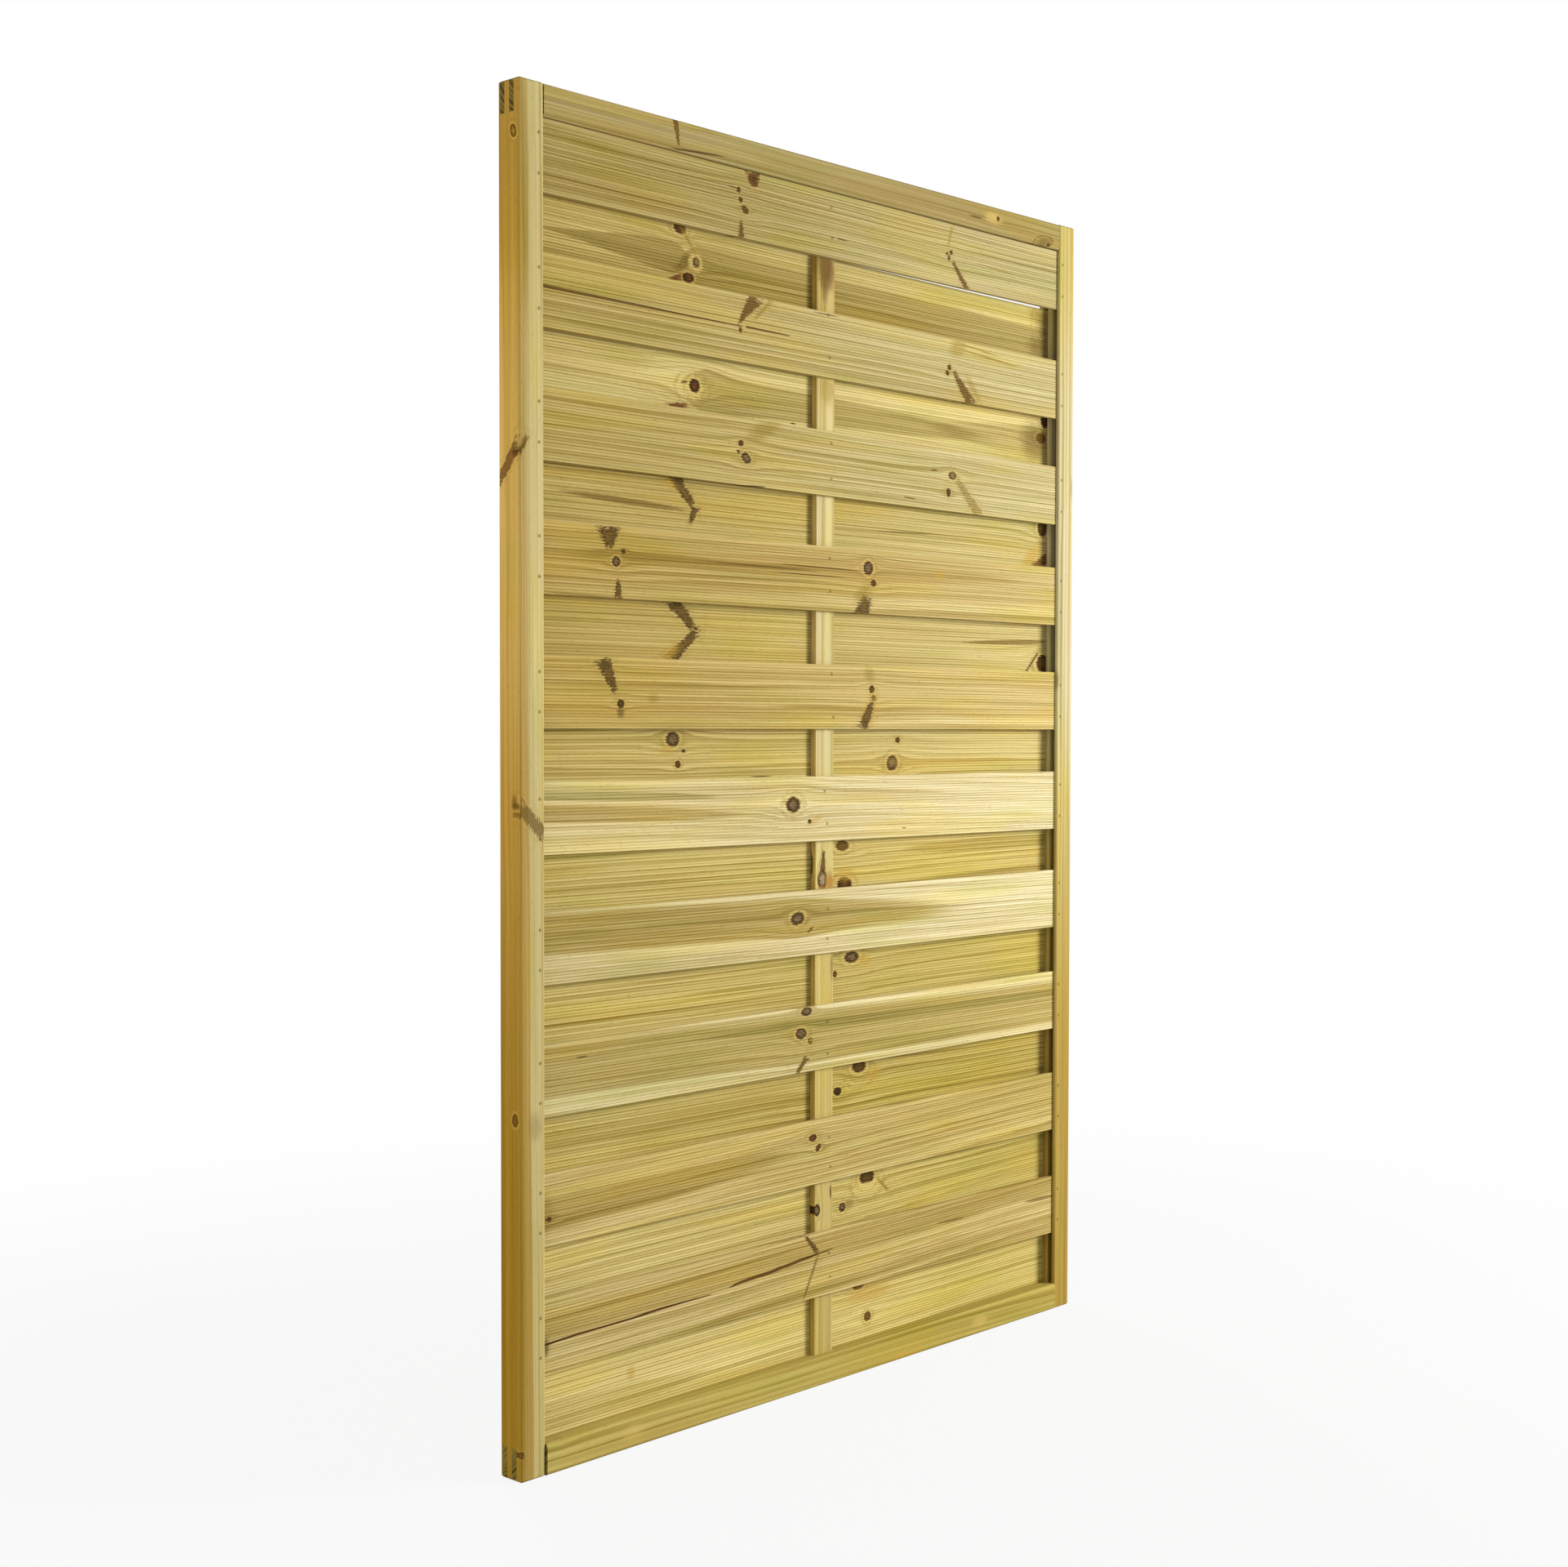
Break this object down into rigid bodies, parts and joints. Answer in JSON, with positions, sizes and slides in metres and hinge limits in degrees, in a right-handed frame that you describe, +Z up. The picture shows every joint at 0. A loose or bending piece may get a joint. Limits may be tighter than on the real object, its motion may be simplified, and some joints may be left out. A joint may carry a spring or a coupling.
{
  "type": "privacy fence panel",
  "caption": "Upright timber privacy fence panel: a finger-jointed frame filled with horizontal reeded slats that alternate in front of and behind a centre batten.",
  "frame": {"origin": "middle of the panel's width and overall depth, on the ground under its bottom edge", "axes": "+X along the panel's width, to the right as seen from the face side, +Y from the face side to the back, +Z up"},
  "size_m": [1.2, 0.045, 1.8],
  "materials": {
    "frame_timber": "planed and pressure-treated softwood, matt",
    "front_slat_timber": "reeded and pressure-treated softwood, matt",
    "back_slat_timber": "reeded and pressure-treated softwood, matt",
    "batten_timber": "planed and pressure-treated softwood, matt",
    "brad_steel": "dull galvanised wire"
  },
  "bodies": {
    "root": {"back_batten_brads": "brad_steel", "back_left_stile_brads": "brad_steel", "back_right_stile_brads": "brad_steel", "back_slat_01": "back_slat_timber", "back_slat_02": "back_slat_timber", "back_slat_03": "back_slat_timber", "back_slat_04": "back_slat_timber", "back_slat_05": "back_slat_timber", "back_slat_06": "back_slat_timber", "back_slat_07": "back_slat_timber", "back_slat_08": "back_slat_timber", "back_slat_09": "back_slat_timber", "back_slat_10": "back_slat_timber", "bottom_rail": "frame_timber", "centre_batten": "batten_timber", "corner_pins": "brad_steel", "front_batten_brads": "brad_steel", "front_left_stile_brads": "brad_steel", "front_right_stile_brads": "brad_steel", "front_slat_01": "front_slat_timber", "front_slat_02": "front_slat_timber", "front_slat_03": "front_slat_timber", "front_slat_04": "front_slat_timber", "front_slat_05": "front_slat_timber", "front_slat_06": "front_slat_timber", "front_slat_07": "front_slat_timber", "front_slat_08": "front_slat_timber", "front_slat_09": "front_slat_timber", "front_slat_10": "front_slat_timber", "left_stile": "frame_timber", "right_stile": "frame_timber", "top_rail": "frame_timber"}
  },
  "joints": []
}
